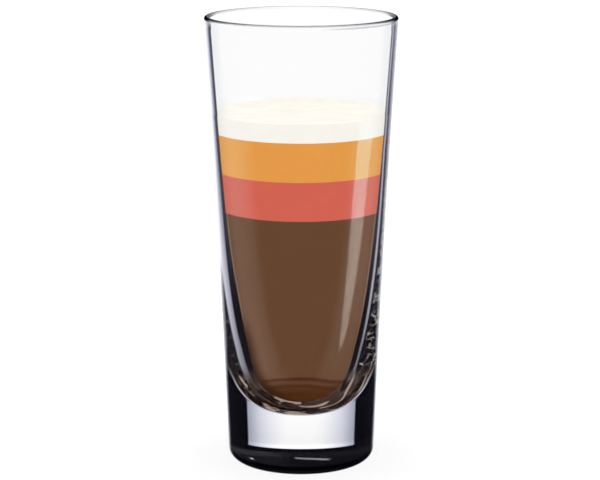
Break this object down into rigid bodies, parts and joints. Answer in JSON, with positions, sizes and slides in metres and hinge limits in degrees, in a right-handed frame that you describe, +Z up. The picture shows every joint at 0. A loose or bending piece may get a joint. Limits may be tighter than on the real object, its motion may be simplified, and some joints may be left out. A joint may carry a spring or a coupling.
{
  "type": "calypso coffee in a glass",
  "caption": "Layered coffee drink with coffee, coral, orange and cream bands in a tall, gently flared clear tumbler with a thick solid base.",
  "frame": {"origin": "middle of the ring that the glass stands on, on the surface under it", "axes": "+Z up along the axis of the glass; the object is round, so +X and +Y are any two level directions"},
  "size_m": [0.0658, 0.0658, 0.155],
  "materials": {
    "clear_glass": "clear polished glass",
    "coffee": "opaque brown milky coffee, smooth liquid",
    "coral_liqueur": "opaque coral red liquid, smooth",
    "orange_liqueur": "opaque orange liquid, smooth",
    "cream": "thick off-white cream, softly glossy"
  },
  "bodies": {
    "root": {"glass": "clear_glass", "coffee_layer": "coffee", "coral_layer": "coral_liqueur", "orange_layer": "orange_liqueur", "cream_layer": "cream"}
  },
  "joints": []
}
